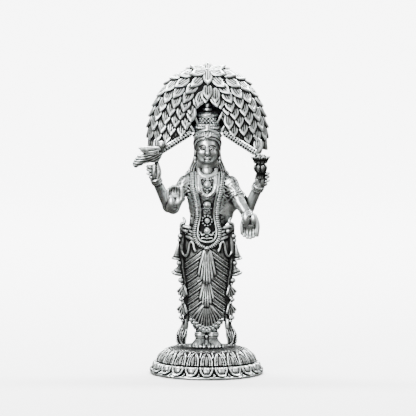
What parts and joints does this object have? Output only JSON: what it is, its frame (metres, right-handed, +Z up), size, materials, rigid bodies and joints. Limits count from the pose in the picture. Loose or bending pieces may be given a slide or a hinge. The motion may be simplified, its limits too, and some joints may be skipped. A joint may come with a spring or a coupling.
{
  "type": "goddess figurine",
  "caption": "Cast silver idol of a standing goddess with a parrot and a lotus in her raised hands, under a leafy tree, on a round lotus pedestal that it rests on.",
  "frame": {"origin": "centre of the pedestal's underside", "axes": "+Z up; the goddess faces -Y; +X is towards her left hands, the one with the lotus among them"},
  "size_m": [0.0482, 0.0402, 0.11],
  "materials": {
    "antique_silver": "oxidised silver, polished bright on the high points and left near-black in the recesses"
  },
  "bodies": {
    "root": {"lotus_pedestal": "antique_silver", "goddess_figure": "antique_silver", "leafy_tree": "antique_silver"}
  },
  "joints": []
}
